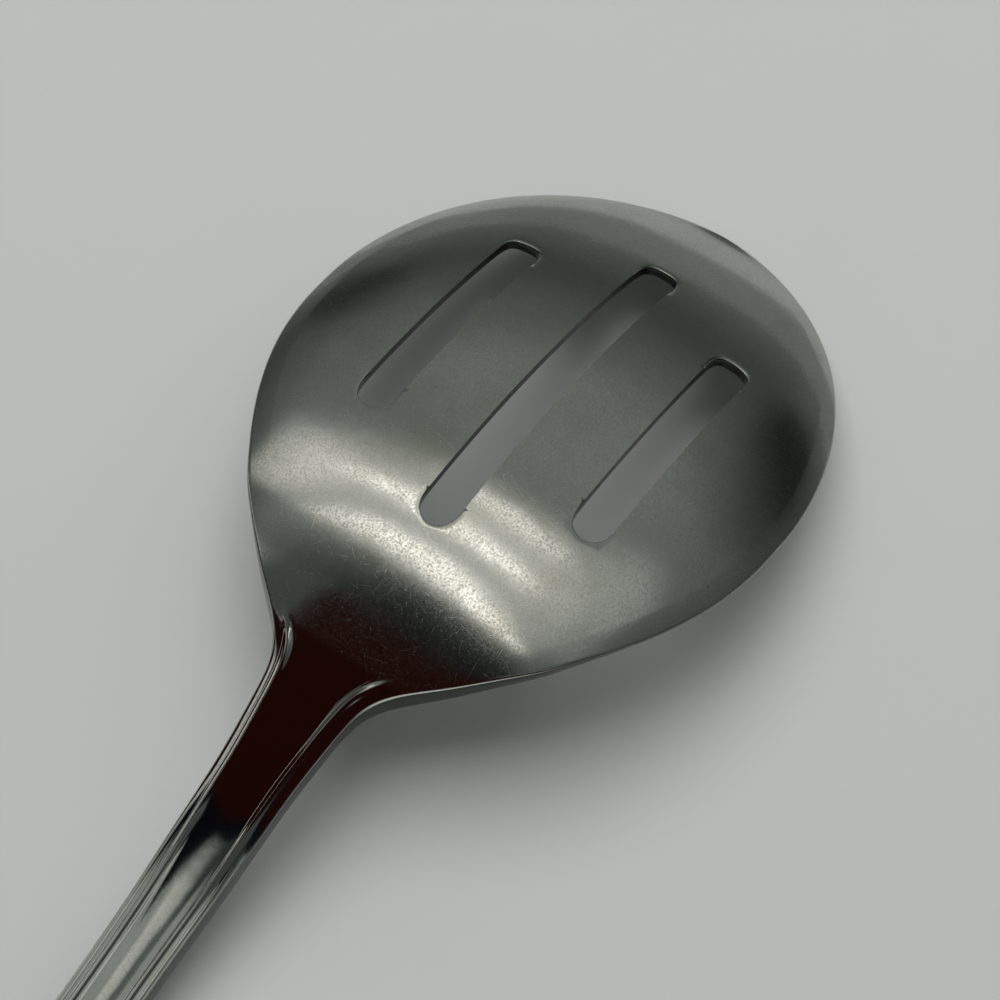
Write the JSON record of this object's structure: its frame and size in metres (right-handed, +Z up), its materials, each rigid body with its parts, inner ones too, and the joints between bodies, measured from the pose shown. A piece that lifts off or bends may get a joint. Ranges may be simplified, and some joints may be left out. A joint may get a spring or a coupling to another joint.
{
  "type": "slotted serving spoon",
  "caption": "Slotted serving spoon: a round domed bowl pierced by long parallel slots, on a slim arched handle with a threaded border, lying face down.",
  "frame": {"origin": "middle of the spoon's footprint, on the surface that it lies on", "axes": "+X along the spoon from the handle's end to the bowl's tip, +Z up, away from the surface that the spoon lies on face down"},
  "size_m": [0.2164, 0.0656, 0.0227],
  "materials": {
    "stainless_steel": "stamped stainless steel, bright polish on the neck and handle, worn satin with fine scratches on the bowl"
  },
  "bodies": {
    "root": {"spoon": "stainless_steel"}
  },
  "joints": []
}
